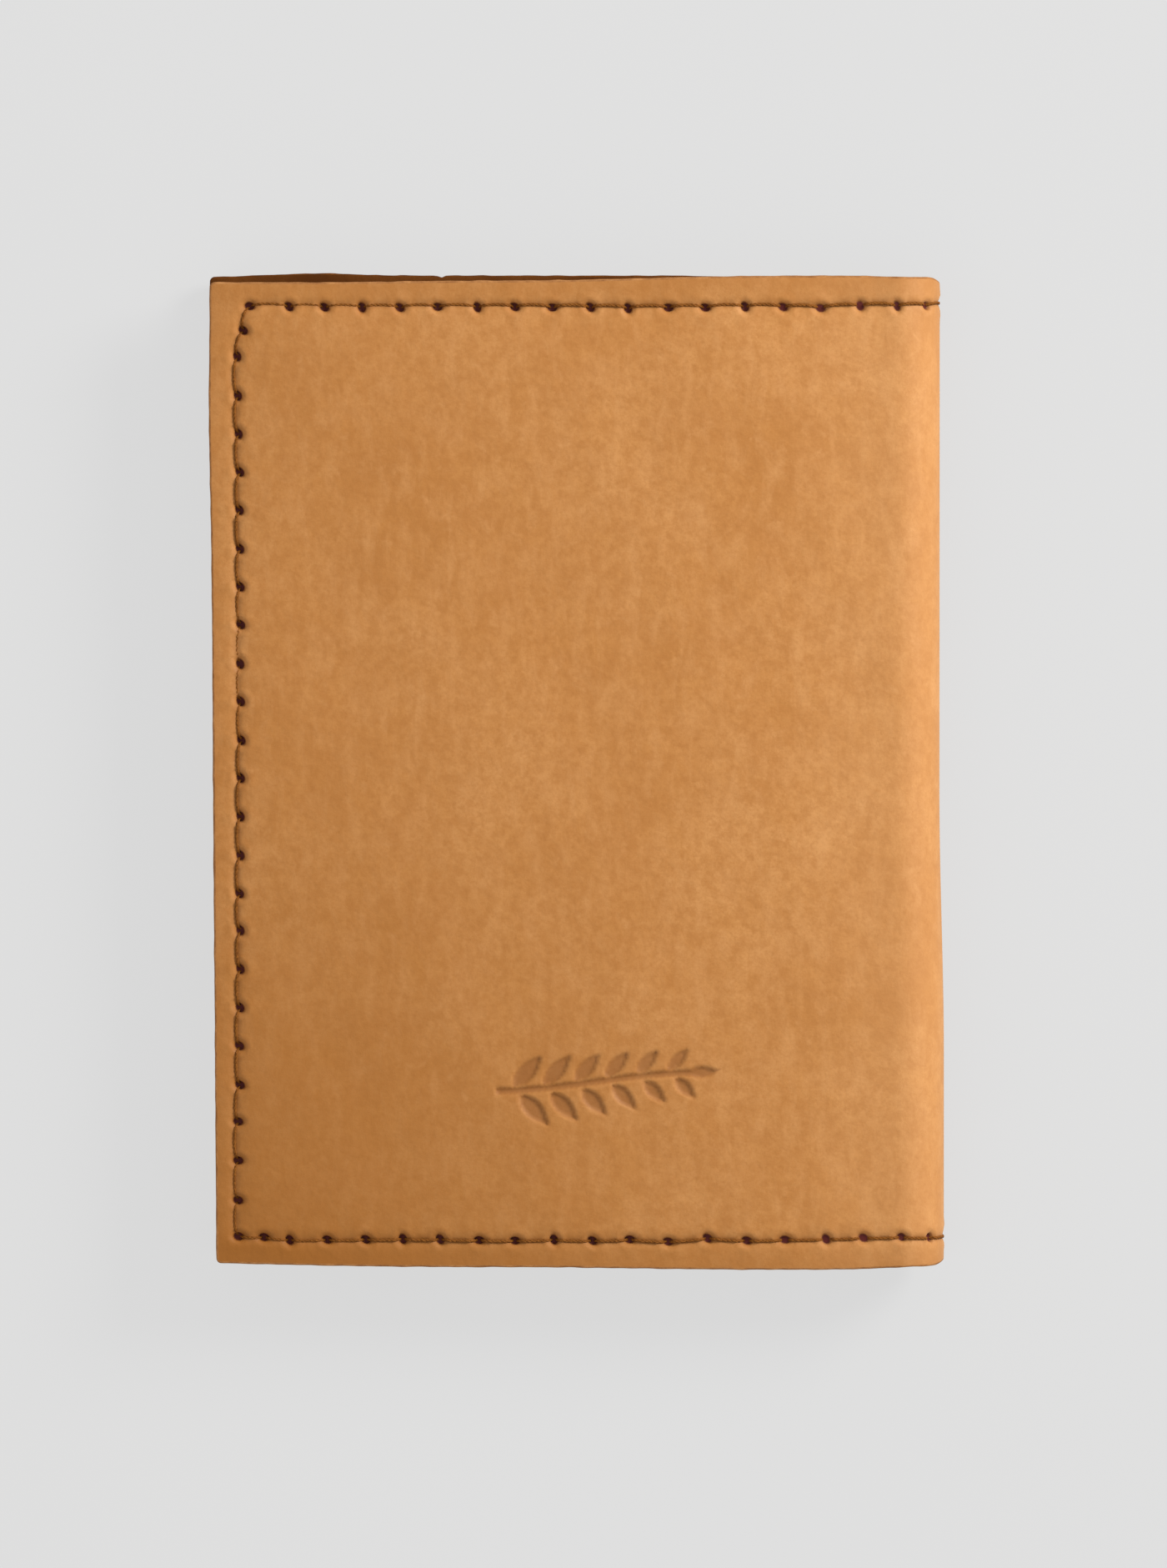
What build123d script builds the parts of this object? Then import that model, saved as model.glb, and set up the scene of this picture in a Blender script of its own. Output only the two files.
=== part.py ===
from build123d import *
import math
import os

# Book-style leather card holder, closed and lying on its front cover, rear cover up.
# +X runs from the open side to the fold, +Y is the way up of the standing holder,
# +Z goes through its thickness. The origin is under the middle of the closed holder.
# Millimetres.

# the card that the holder is made for
CARD_HEIGHT = 85.6
CARD_THICKNESS = 0.76

# outline
CARD_SLACK = 2.6
STITCH_INSET = 2.6
HEIGHT = CARD_HEIGHT + 2 * (CARD_SLACK + STITCH_INSET)
WIDTH = 71.0
OPEN_CORNER_RADIUS = 0.8
FOLD_CORNER_RADIUS = 1.0

# leather, and the room for a card between two layers
COVER = 1.2
LINING = 0.6
POCKET = 0.6
SLOT = CARD_THICKNESS + 0.1
MEETING_GAP = 0.3

# pocket panels: how far each reaches from the open side, and the sewn edge that holds it up
DEEP_REACH = 52.0
SHALLOW_REACH = 40.0
SEWN_MARGIN = 4.3
RAMP = CARD_SLACK + STITCH_INSET - SEWN_MARGIN

# lockstitch
NEEDLE_HOLE = 1.1
THREAD = 0.4
CHANNEL_WIDTH = 0.7
CHANNEL_DEPTH = 0.5
COLUMN_STITCHES = 23
SHORT_STITCHES = 2
SHORT_RUN = 5.0
CORNER_CUT = 1.1
TOP_ROW_STITCHES = 38
BOTTOM_ROW_STITCHES = 36

# levels up from the outer face of a half, and the whole thickness
LINING_LEVEL = COVER
LINED = COVER + LINING
DEEP_LEVEL = LINED + SLOT
SHALLOW_LEVEL = DEEP_LEVEL + POCKET + SLOT
HALF_STACK = SHALLOW_LEVEL + POCKET
THICKNESS = 2 * HALF_STACK + MEETING_GAP
MIDDLE = THICKNESS / 2

# fold: a half round whose middle skin keeps its length when the holder opens flat
FOLD_OUTER = MIDDLE
FOLD_INNER = FOLD_OUTER - LINED
OPEN_X = -WIDTH / 2
FOLD_X = WIDTH / 2 - FOLD_OUTER
STRAIGHT = FOLD_X - OPEN_X

# the flexing piece starts between two stitches, clear of the flat halves as it turns
FOLD_STUB = 1.55
TURNING_GAP = 0.45
HALF_END_X = FOLD_X - FOLD_STUB - TURNING_GAP

os.makedirs("parts", exist_ok=True)


def finish(builder, label):
    builder.part.label = label
    export_step(builder.part, f"parts/{label}.step")


def fold_row(first, stitches):
    """Distances of a row's needle holes along the outer face, from the open side to past the fold."""
    whole = 2 * STRAIGHT + math.pi * FOLD_OUTER
    pitch = (whole - 2 * first) / stitches
    return [first + k * pitch for k in range(stitches + 1)]


def steps(start, end, count):
    """Points from start towards end, in equal steps, without the end."""
    return [
        (start[0] + (end[0] - start[0]) * k / count, start[1] + (end[1] - start[1]) * k / count)
        for k in range(count)
    ]


# ---- stitch line of one half: top row, cut corner, column, short run, bottom row ----
ROW_Y = HEIGHT / 2 - STITCH_INSET
COLUMN_X = OPEN_X + STITCH_INSET
TOP_START = STITCH_INSET + CORNER_CUT
BOTTOM_START = STITCH_INSET + SHORT_RUN

top_row = fold_row(TOP_START, TOP_ROW_STITCHES)
bottom_row = fold_row(BOTTOM_START, BOTTOM_ROW_STITCHES)
half_reach = HALF_END_X - OPEN_X
flat_top = [(OPEN_X + s, ROW_Y) for s in reversed(top_row) if s < half_reach]
flat_bottom = [(OPEN_X + s, -ROW_Y) for s in bottom_row if s < half_reach]
cut_end = (COLUMN_X, ROW_Y - SHORT_RUN)
low_corner = (COLUMN_X, -ROW_Y)
flat_holes = (
    flat_top[:-1]
    + steps(flat_top[-1], cut_end, SHORT_STITCHES)
    + steps(cut_end, low_corner, COLUMN_STITCHES)
    + steps(low_corner, flat_bottom[0], SHORT_STITCHES)
    + flat_bottom
)

# ---- needle holes round the fold, as angles from the middle of the fold ----
fold_reach = STRAIGHT - FOLD_STUB
whole_reach = 2 * STRAIGHT + math.pi * FOLD_OUTER
middle_reach = whole_reach / 2
fold_angles = {
    side * ROW_Y: [
        math.degrees((s - middle_reach) / FOLD_OUTER)
        for s in row
        if fold_reach < s < whole_reach - fold_reach
    ]
    for side, row in ((1, top_row), (-1, bottom_row))
}


def needle_holes():
    """Round holes through whatever is being built, all round the sewn line of a half."""
    with Locations(*flat_holes):
        Hole(radius=NEEDLE_HOLE / 2, depth=2 * THICKNESS)


def half_outline(reach):
    """Outline of a layer of one half, from the open side to the given reach."""
    with Locations((OPEN_X + reach / 2, 0)):
        Rectangle(reach, HEIGHT)


def inner_outline(margin):
    """Outline inside a sewn margin on three sides, running on past the pocket's mouth."""
    with Locations((OPEN_X + margin + WIDTH / 2, 0)):
        Rectangle(WIDTH, HEIGHT - 2 * margin)


def fold_plane(angle, row_y):
    """Plane at the centre of the fold that faces out along one needle hole."""
    turn = math.radians(angle)
    outward = (math.cos(turn), 0, -math.sin(turn))
    return Plane(origin=(FOLD_X, row_y, MIDDLE), x_dir=(0, 1, 0), z_dir=outward)


def fold_skin(outer, inner):
    """Half-round skin round the fold, with two short straight ends, cut to rounded corners."""
    with BuildPart() as skin:
        with BuildSketch(Plane.XZ):
            with Locations((FOLD_X, MIDDLE)):
                Circle(outer)
            with Locations((FOLD_X - outer, MIDDLE)):
                Rectangle(2 * outer, 2 * outer)
            with Locations((FOLD_X, MIDDLE)):
                Circle(inner, mode=Mode.SUBTRACT)
            with Locations((FOLD_X - outer, MIDDLE)):
                Rectangle(2 * outer, 2 * inner, mode=Mode.SUBTRACT)
        extrude(amount=HEIGHT / 2, both=True)
        split(bisect_by=Plane.YZ.offset(FOLD_X - FOLD_STUB), keep=Keep.TOP)
        with BuildSketch(Plane.XY) as plan:
            Rectangle(WIDTH, HEIGHT)
            fillet(plan.vertices().group_by(Axis.X)[-1], FOLD_CORNER_RADIUS)
        extrude(amount=THICKNESS, mode=Mode.INTERSECT)
        for row_y, angles in fold_angles.items():
            for angle in angles:
                with BuildSketch(fold_plane(angle, row_y)):
                    Circle(NEEDLE_HOLE / 2)
                extrude(amount=2 * outer, mode=Mode.SUBTRACT)
    return skin


# ---- front cover: the half that the holder lies on, with the sunk channel for the thread ----
with BuildPart() as front_cover:
    with BuildSketch(Plane.XY) as outline:
        half_outline(half_reach)
        fillet(outline.vertices().group_by(Axis.X)[0], OPEN_CORNER_RADIUS)
    extrude(amount=COVER)
    with BuildSketch(Plane.XY):
        with BuildLine():
            Polyline(*flat_holes)
        trace(line_width=CHANNEL_WIDTH)
    extrude(amount=CHANNEL_DEPTH, mode=Mode.SUBTRACT)
    needle_holes()

# ---- front lining ----
with BuildPart() as front_lining:
    with BuildSketch(Plane.XY.offset(LINING_LEVEL)) as outline:
        half_outline(half_reach)
        fillet(outline.vertices().group_by(Axis.X)[0], OPEN_CORNER_RADIUS)
    extrude(amount=LINING)
    needle_holes()


# ---- pocket panels: a flat panel held a card's thickness up by its sewn edge ----
def pocket_panel(level, reach):
    """The flat, raised part of a pocket panel, inside its sewn edge."""
    with BuildPart() as panel:
        with BuildSketch(Plane.XY.offset(level)):
            inner_outline(SEWN_MARGIN + RAMP)
        extrude(amount=POCKET)
        split(bisect_by=Plane.YZ.offset(OPEN_X + reach), keep=Keep.BOTTOM)
    return panel


def pocket_edge(base, level, reach):
    """The sewn edge of a pocket panel: flat on the layer below, then ramping up to the panel."""
    with BuildPart() as edge:
        with BuildSketch(Plane.XY.offset(base)) as outline:
            half_outline(WIDTH)
            fillet(outline.vertices().group_by(Axis.X)[0], OPEN_CORNER_RADIUS)
        extrude(amount=POCKET)
        with BuildSketch(Plane.XY.offset(base + POCKET)):
            inner_outline(SEWN_MARGIN)
        with BuildSketch(Plane.XY.offset(level + POCKET)):
            inner_outline(SEWN_MARGIN + RAMP)
        loft()
        with BuildSketch(Plane.XY.offset(base)):
            inner_outline(SEWN_MARGIN)
        with BuildSketch(Plane.XY.offset(level)):
            inner_outline(SEWN_MARGIN + RAMP)
        loft(mode=Mode.SUBTRACT)
        with BuildSketch(Plane.XY.offset(level)):
            inner_outline(SEWN_MARGIN + RAMP)
        extrude(amount=POCKET, mode=Mode.SUBTRACT)
        split(bisect_by=Plane.YZ.offset(OPEN_X + reach), keep=Keep.BOTTOM)
        needle_holes()
    return edge


front_deep_pocket = pocket_panel(DEEP_LEVEL, DEEP_REACH)
front_deep_pocket_edge = pocket_edge(LINED, DEEP_LEVEL, DEEP_REACH)
front_shallow_pocket = pocket_panel(SHALLOW_LEVEL, SHALLOW_REACH)
front_shallow_pocket_edge = pocket_edge(LINED + POCKET, SHALLOW_LEVEL, SHALLOW_REACH)

# ---- needle thread: in the channel on the outside, down each hole to the lock ----
with BuildPart() as front_needle_thread:
    with BuildSketch(Plane.XY.offset(CHANNEL_DEPTH - THREAD)):
        with BuildLine():
            Polyline(*flat_holes)
        trace(line_width=THREAD)
    extrude(amount=THREAD)
    with BuildSketch(Plane.XY.offset(CHANNEL_DEPTH)):
        with Locations(*flat_holes):
            Circle(THREAD / 2)
    extrude(amount=COVER - CHANNEL_DEPTH)


# ---- bobbin thread: on the inner face, which steps down past each pocket's mouth ----
def inner_level(x):
    """Height of the sewn margin's inner face at x."""
    if x < OPEN_X + SHALLOW_REACH:
        return LINED + 2 * POCKET
    if x < OPEN_X + DEEP_REACH:
        return LINED + POCKET
    return LINED


def bobbin_runs():
    """Runs of needle holes between which the thread stays on one level, in order."""
    runs = []
    for start, end in zip(flat_holes, flat_holes[1:]):
        level = max(inner_level(start[0]), inner_level(end[0]))
        if runs and runs[-1][0] == level:
            runs[-1][1].append(end)
        else:
            runs.append((level, [start, end]))
    return runs


with BuildPart() as front_bobbin_thread:
    for level, points in bobbin_runs():
        with BuildSketch(Plane.XY.offset(level)):
            with BuildLine():
                Polyline(*points)
            trace(line_width=THREAD)
        extrude(amount=THREAD)
        with BuildSketch(Plane.XY.offset(COVER)):
            with Locations(*points):
                Circle(THREAD / 2)
        extrude(amount=level - COVER + THREAD)

# ---- the rear half is the front half, turned over about the middle of the thickness ----
front_pieces = {
    "cover": front_cover,
    "lining": front_lining,
    "deep_pocket": front_deep_pocket,
    "deep_pocket_edge": front_deep_pocket_edge,
    "shallow_pocket": front_shallow_pocket,
    "shallow_pocket_edge": front_shallow_pocket_edge,
    "needle_thread": front_needle_thread,
    "bobbin_thread": front_bobbin_thread,
}
for name, front_piece in front_pieces.items():
    finish(front_piece, f"front_{name}")
    with BuildPart() as rear_piece:
        mirror(front_piece.part, about=Plane.XY.offset(MIDDLE))
    finish(rear_piece, f"rear_{name}")

# ---- fold: cover and lining round the spine ----
with BuildPart() as spine_cover:
    add(fold_skin(FOLD_OUTER, FOLD_OUTER - COVER).part)
    for row_y in fold_angles:
        with BuildSketch(Plane.XZ.offset(-row_y)):
            with BuildLine():
                channel_radius = FOLD_OUTER - CHANNEL_DEPTH / 2
                round_fold = CenterArc((FOLD_X, MIDDLE), channel_radius, -90, 180)
                Line(round_fold @ 0, round_fold @ 0 - (FOLD_STUB, 0))
                Line(round_fold @ 1, round_fold @ 1 - (FOLD_STUB, 0))
            trace(line_width=CHANNEL_DEPTH)
        extrude(amount=CHANNEL_WIDTH / 2, both=True, mode=Mode.SUBTRACT)
finish(spine_cover, "spine_cover")

spine_lining = fold_skin(FOLD_OUTER - COVER, FOLD_INNER)
finish(spine_lining, "spine_lining")


# ---- threads round the fold, with a leg in each hole up to the lock between the two ----
def fold_thread(radius, leg_start, leg_end):
    """Thread along the arc between the first and last holes of both rows, with its legs."""
    with BuildPart() as thread:
        for row_y, angles in fold_angles.items():
            with BuildSketch(Plane.XZ.offset(-row_y)):
                with BuildLine():
                    CenterArc((FOLD_X, MIDDLE), radius, angles[0], angles[-1] - angles[0])
                trace(line_width=THREAD)
            extrude(amount=THREAD / 2, both=True)
            for angle in angles:
                with BuildSketch(fold_plane(angle, row_y).offset(leg_start)):
                    Circle(THREAD / 2)
                extrude(amount=leg_end - leg_start)
    return thread


lock_radius = FOLD_OUTER - COVER
needle_radius = FOLD_OUTER - CHANNEL_DEPTH + THREAD / 2
spine_needle_thread = fold_thread(needle_radius, lock_radius, needle_radius)
finish(spine_needle_thread, "spine_needle_thread")

bobbin_radius = FOLD_INNER - THREAD / 2
spine_bobbin_thread = fold_thread(bobbin_radius, bobbin_radius, lock_radius)
finish(spine_bobbin_thread, "spine_bobbin_thread")

# the two axes that the fold turns about, one near each face
neutral_radius = (FOLD_OUTER + FOLD_INNER) / 2
axis_shift = math.pi * neutral_radius / 4
print(f"width {WIDTH:.2f}  height {HEIGHT:.2f}  thickness {THICKNESS:.2f}")
print(f"fold axes x {FOLD_X + axis_shift:.3f}  z {MIDDLE - axis_shift:.3f} and {MIDDLE + axis_shift:.3f}")
print(f"top row pitch {top_row[1] - top_row[0]:.3f}  bottom row pitch {bottom_row[1] - bottom_row[0]:.3f}")
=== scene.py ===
import bpy
import math
import random
import numpy as np
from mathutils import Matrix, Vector
from mathutils.geometry import delaunay_2d_cdt


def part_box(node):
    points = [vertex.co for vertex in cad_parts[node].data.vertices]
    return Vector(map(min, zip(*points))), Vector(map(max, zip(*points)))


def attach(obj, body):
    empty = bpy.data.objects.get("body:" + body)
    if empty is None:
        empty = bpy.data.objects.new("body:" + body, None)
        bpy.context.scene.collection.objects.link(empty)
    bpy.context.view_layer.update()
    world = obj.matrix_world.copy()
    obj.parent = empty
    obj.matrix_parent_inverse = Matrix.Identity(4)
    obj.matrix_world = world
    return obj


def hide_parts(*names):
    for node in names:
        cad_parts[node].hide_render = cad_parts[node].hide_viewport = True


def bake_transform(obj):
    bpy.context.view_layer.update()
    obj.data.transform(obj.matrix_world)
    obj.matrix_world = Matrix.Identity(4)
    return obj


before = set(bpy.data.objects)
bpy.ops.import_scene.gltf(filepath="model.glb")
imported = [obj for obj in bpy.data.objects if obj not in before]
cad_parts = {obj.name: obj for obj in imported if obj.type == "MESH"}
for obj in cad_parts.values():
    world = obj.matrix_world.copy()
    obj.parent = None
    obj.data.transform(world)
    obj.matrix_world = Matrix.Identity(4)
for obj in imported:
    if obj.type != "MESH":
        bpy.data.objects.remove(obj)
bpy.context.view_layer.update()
MM = 0.001

# ---- sizes of the holder in millimetres, from the CAD frame ----


def box_mm(node):
    """Lowest and highest corner of a CAD node at rest, in millimetres."""
    low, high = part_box(node)
    return np.array(low) / MM, np.array(high) / MM


cover_low, cover_high = box_mm("front_cover")
_, lining_high = box_mm("front_lining")
deep_low, deep_high = box_mm("front_deep_pocket")
shallow_low, shallow_high = box_mm("front_shallow_pocket")
thread_low, thread_high = box_mm("front_needle_thread")
_, spine_high = box_mm("spine_cover")

OPEN_X = cover_low[0]
HALF_HEIGHT = cover_high[1]
THICKNESS = spine_high[2]
MIDDLE = THICKNESS / 2
FOLD_X = spine_high[0] - MIDDLE
STRAIGHT = FOLD_X - OPEN_X
FOLD_END = STRAIGHT + math.pi * MIDDLE / 2
COVER = cover_high[2]
LINED = lining_high[2]
POCKET = deep_high[2] - deep_low[2]
DEEP_RISE = deep_low[2] - LINED
SHALLOW_RISE = shallow_low[2] - LINED - POCKET
DEEP_REACH = deep_high[0] - OPEN_X
SHALLOW_REACH = shallow_high[0] - OPEN_X
ROW_V = (thread_high[1] - thread_low[1]) / 2 - 0.2
INSET = HALF_HEIGHT - ROW_V

# ---- stitching: the same layout as the CAD, with the small drift of a hand-fed machine ----
TOP_ROW_STITCHES = 38
BOTTOM_ROW_STITCHES = 36
COLUMN_STITCHES = 23
SHORT_STITCHES = 2
SHORT_RUN = 5.0
CORNER_CUT = 1.1
COLUMN_BOW = 0.35
COLUMN_SHIFT = -0.12
ROW_DROP = 0.22
HOLE_RADIUS = 0.45
NARROW_HOLE = 0.34
FOLD_CORNER = 0.5
FOLD_SINK = 0.38


def smooth(value, low, high):
    """0 below low, 1 above high, and a soft step between them."""
    t = np.clip((value - low) / (high - low), 0, 1)
    return t * t * (3 - 2 * t)


def row_holes(first, stitches, v):
    """Needle holes of one row from first to the middle of the fold, as (s, v)."""
    whole = 2 * FOLD_END
    pitch = (whole - 2 * first) / stitches
    return [(first + k * pitch, v) for k in range(stitches // 2 + 1)]


def stitch_line():
    """Needle holes of one half in sewing order, with a little drift."""
    top = row_holes(INSET + CORNER_CUT, TOP_ROW_STITCHES, ROW_V)
    bottom = row_holes(INSET + SHORT_RUN, BOTTOM_ROW_STITCHES, -ROW_V)
    cut_end = (INSET, ROW_V - SHORT_RUN)
    corner = (INSET, -ROW_V)

    def steps(a, b, count):
        return [(a[0] + (b[0] - a[0]) * k / count, a[1] + (b[1] - a[1]) * k / count) for k in range(count)]

    line = top[::-1][:-1] + steps(top[0], cut_end, SHORT_STITCHES)
    line += steps(cut_end, corner, COLUMN_STITCHES) + steps(corner, bottom[0], SHORT_STITCHES) + bottom
    rng = random.Random(11)
    moved = []
    for s, v in line:
        ds, dv = rng.gauss(0, 0.06), rng.gauss(0, 0.07)
        if s < INSET + 0.5:
            ds += COLUMN_SHIFT + COLUMN_BOW * (1 - (v / ROW_V) ** 2)
        dv -= ROW_DROP * float(smooth(s, 5, 9) * (1 - smooth(s, 55, FOLD_END)))
        fixed = s > FOLD_END - 0.1
        moved.append((s if fixed else s + ds, v if fixed else v + dv))
    return moved


HOLES = stitch_line()


def stitch_bow(start, end):
    """How far a stitch lies towards the edge from the straight line between its two holes."""
    if abs(end[0] - start[0]) < 1.2:
        return 0.35
    return 0.26 if start[1] > 0 else 0.07


def bow_shape(share):
    """Side shape of a stitch along its length: off to the side at once, then nearly straight."""
    return np.clip(np.sin(np.pi * share), 0, 1) ** 0.38


# ---- smooth noise, the same each run ----
def wave_noise(s, v, size, seed):
    """Soft noise about -1..1 from a few crossed waves of the given size in millimetres."""
    rng = random.Random(seed)
    total = np.zeros_like(s, dtype=float)
    for _ in range(7):
        angle = rng.uniform(0, math.tau)
        k = math.tau / (size * rng.uniform(0.7, 1.7))
        total += np.sin(k * (s * math.cos(angle) + v * math.sin(angle)) + rng.uniform(0, math.tau))
    return total / 3.0


# ---- outline of each layer, in the leather's own flat coordinates: s from the open side, v up ----
FOLD_CORNER_WIDTH = 0.42


def fold_limit(s):
    """How far the rounded fold corner brings the top and bottom edges in at s."""
    return FOLD_CORNER * np.exp(-(((FOLD_END - s) / MIDDLE / FOLD_CORNER_WIDTH) ** 2))


def cover_edges(s, v):
    """Offsets of the cover's top, bottom and open edges from a true rectangle."""
    top = -0.37 + 0.17 * smooth(s, 8, 24) + 0.50 * smooth(s, 31, 55) + 0.03 * np.sin(s / 5.3 + 1.0)
    bottom = -0.14 + 0.45 * smooth(s, -4, 28) + 0.24 * smooth(s, 30, 62) + 0.05 * np.sin(s / 6.1)
    top = top - 0.16 * smooth(s, 60, 68) - fold_limit(s)
    bottom = bottom - 0.28 * smooth(s, 60, 70) - fold_limit(s)
    side = 0.16 - 0.30 * v / HALF_HEIGHT - 0.16 * np.exp(-(((v - 34) / 9) ** 2))
    return top, bottom, side


def inner_edges(s, v):
    """The same for the lining and the pockets, which stand a little proud at the top left."""
    proud = 0.29 - 0.11 * (1 - smooth(s, 0, 5)) + 0.22 * np.exp(-(((s - 10.5) / 4.5) ** 2))
    nick = 0.20 * np.exp(-(((s - 22.4) / 0.3) ** 2))
    top = proud - nick - 0.45 * smooth(s, 45, 58) - fold_limit(s)
    bottom = -0.60 + 0.2 * smooth(s, 0, 40) - fold_limit(s)
    side = 0.30 - 0.22 * v / HALF_HEIGHT - 0.22 * smooth(v, 36, 46)
    return top, bottom, side


def edge_at(edges, s):
    """The three edge offsets at one s, as plain numbers."""
    return [float(e[0]) for e in edges(np.array([float(s)]), np.array([0.0]))]


def outline(edges, reach, seam, corner=0.5, step=0.4):
    """Closed outline, counter-clockwise: along the bottom, up the far side, back along the top, down."""
    half = HALF_HEIGHT
    s_row = np.linspace(0, reach, int(reach / step) + 1)
    v_side = np.linspace(-half, half, int(2 * half / step) + 1)
    v_far = v_side
    if seam:
        rings = [0.0, 0.16, 0.3, 0.42, 0.5, 0.6, 0.78, 1.0]
        fine = [side * (ROW_V + sign * r) for r in rings for side in (1, -1) for sign in (1, -1)]
        away = [abs(abs(v) - ROW_V) > 1.2 for v in v_side]
        v_far = np.unique(np.round(np.concatenate([v_side[away], fine]), 5))
    far_top, far_bottom, _ = edge_at(edges, reach)
    near_top, near_bottom, _ = edge_at(edges, corner)
    top_end, bottom_end = half + far_top, -half - far_bottom
    v_far = v_far[(v_far > bottom_end + 0.2) & (v_far < top_end - 0.2)]

    top, bottom, _ = edges(s_row, np.zeros_like(s_row))
    _, _, side = edges(np.zeros_like(v_side), v_side)
    high_corner = (side[-1] + corner, half + near_top - corner)
    low_corner = (side[0] + corner, -half - near_bottom + corner)
    turn = np.linspace(0.15, 0.85, 4) * math.pi / 2

    points = [(s, -half - e) for s, e in zip(s_row, bottom) if s > low_corner[0]]
    first_seam = len(points) - 1
    points[-1] = (reach, bottom_end)
    points += [(reach, v) for v in v_far]
    points.append((reach, top_end))
    last_seam = len(points) - 1
    points += [(s, half + e) for s, e in zip(s_row[::-1], top[::-1]) if high_corner[0] < s < reach - 0.2]
    points += [(high_corner[0] - corner * math.sin(a), high_corner[1] + corner * math.cos(a)) for a in turn]
    points += [(e, v) for v, e in zip(v_side[::-1], side[::-1]) if low_corner[1] < v < high_corner[1]]
    points += [(low_corner[0] - corner * math.cos(a), low_corner[1] - corner * math.sin(a)) for a in turn]
    return np.array(points), first_seam, last_seam


def inward(points, first_seam, last_seam, seam):
    """Inward unit normals along an outline; at a seam they run along it, not into the piece."""
    before, after = np.roll(points, 1, axis=0), np.roll(points, -1, axis=0)
    tangent = after - before
    tangent /= np.linalg.norm(tangent, axis=1)[:, None]
    normal = np.stack([-tangent[:, 1], tangent[:, 0]], axis=1)
    if seam:
        normal[first_seam : last_seam + 1] = 0
        normal[first_seam] = (0, 1)
        normal[last_seam] = (0, -1)
    return normal


# ---- where a point of the leather lies: down from the outer face of the closed holder ----
def place(s, v, depth, rear):
    """Row-frame positions in metres of points at s, v and a depth in from the outer face."""
    angle = np.clip((s - STRAIGHT) / MIDDLE, 0, math.pi / 2)
    radius = MIDDLE - depth
    x = OPEN_X + np.minimum(s, STRAIGHT) + np.where(s > STRAIGHT, radius * np.sin(angle), 0)
    z = np.where(s > STRAIGHT, MIDDLE + radius * np.cos(angle), THICKNESS - depth)
    x = x + fold_drift(v) * smooth(s, STRAIGHT - 30, FOLD_END)
    if not rear:
        z = THICKNESS - z
    return np.stack([x, v, z], axis=1) * MM


def fold_drift(v):
    """The fold isn't quite straight: it stands out a little towards the bottom."""
    return 0.12 + FOLD_SINK + 0.45 * smooth(-v, 2, 28)


# ---- surface shape: how far the leather lies under its flat face ----
def hole_distance(s, v, holes):
    """Distance to the nearest needle hole, where each hole is a slanted oval."""
    best = np.full(s.shape, 1e9)
    for hs, hv in holes:
        slant = math.radians(-38 + 34 * math.sin(hs * 7.3 + hv * 5.1))
        c, q = math.cos(slant), math.sin(slant)
        a = (s - hs) * c + (v - hv) * q
        b = (v - hv) * c - (s - hs) * q
        best = np.minimum(best, (a / 1.16) ** 2 + (b / 0.90) ** 2)
    return np.sqrt(best)


def stitch_distance(s, v, holes):
    """Distance to the stitches between holes, each bowed out towards the edge."""
    best = np.full(s.shape, 1e9)
    for (s0, v0), (s1, v1) in zip(holes, holes[1:]):
        shift = stitch_bow((s0, v0), (s1, v1))
        along = np.array([s1 - s0, v1 - v0])
        length = np.hypot(*along)
        along /= length
        out = np.array([along[1], -along[0]])
        ds, dv = s - s0, v - v0
        near = (np.abs(ds) < 6) & (np.abs(dv) < 6)
        t = np.clip(ds * along[0] + dv * along[1], 0, length)
        bow = shift * bow_shape(t / length)
        d2 = (ds - t * along[0] - bow * out[0]) ** 2 + (dv - t * along[1] - bow * out[1]) ** 2
        best = np.where(near, np.minimum(best, d2), best)
    return np.sqrt(best)


def sewn_sink(s, v, holes, hole_radius, pit, channel, soft):
    """Depth pressed in by the stitching: pits at the needle holes, a groove between, a soft dip."""
    r = hole_distance(s, v, holes)
    d = stitch_distance(s, v, holes)
    wall = 1 - smooth(r, hole_radius * 0.72, hole_radius * 1.12)
    dimple = np.exp(-((r / 0.66) ** 2))
    lip = np.exp(-(((r - hole_radius * 2.1) / 0.24) ** 2))
    groove = np.exp(-((d / 0.36) ** 2))
    dip = np.exp(-((d / 1.4) ** 2)) * (1 - 0.85 * smooth(s, STRAIGHT - 4, STRAIGHT + 2))
    return pit * wall + soft * (0.26 * dimple - 0.10 * lip + 0.10 * dip) + channel * groove


# ---- pressed ornament on the rear cover: a plain leafy twig ----
ORNAMENT_S, ORNAMENT_V = 37.3, -30.2
ORNAMENT_HALF = (11.6, 5.4)
TWIG_LENGTH = 9.6
LEAF_PAIRS = 6
LEAF_DEPTH = 0.30


def leaf(ds, dv, base, angle, length, width):
    """How far inside one pointed leaf each place lies, in millimetres; 0 at its edge."""
    c, q = math.cos(angle), math.sin(angle)
    a = (ds - base[0]) * c + (dv - base[1]) * q
    b = (dv - base[1]) * c - (ds - base[0]) * q
    t = np.clip(a / length, 0, 1)
    half = width * np.sin(math.pi * t**0.8)
    return np.where((a > 0) & (a < length), half - np.abs(b), -1.0)


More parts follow.
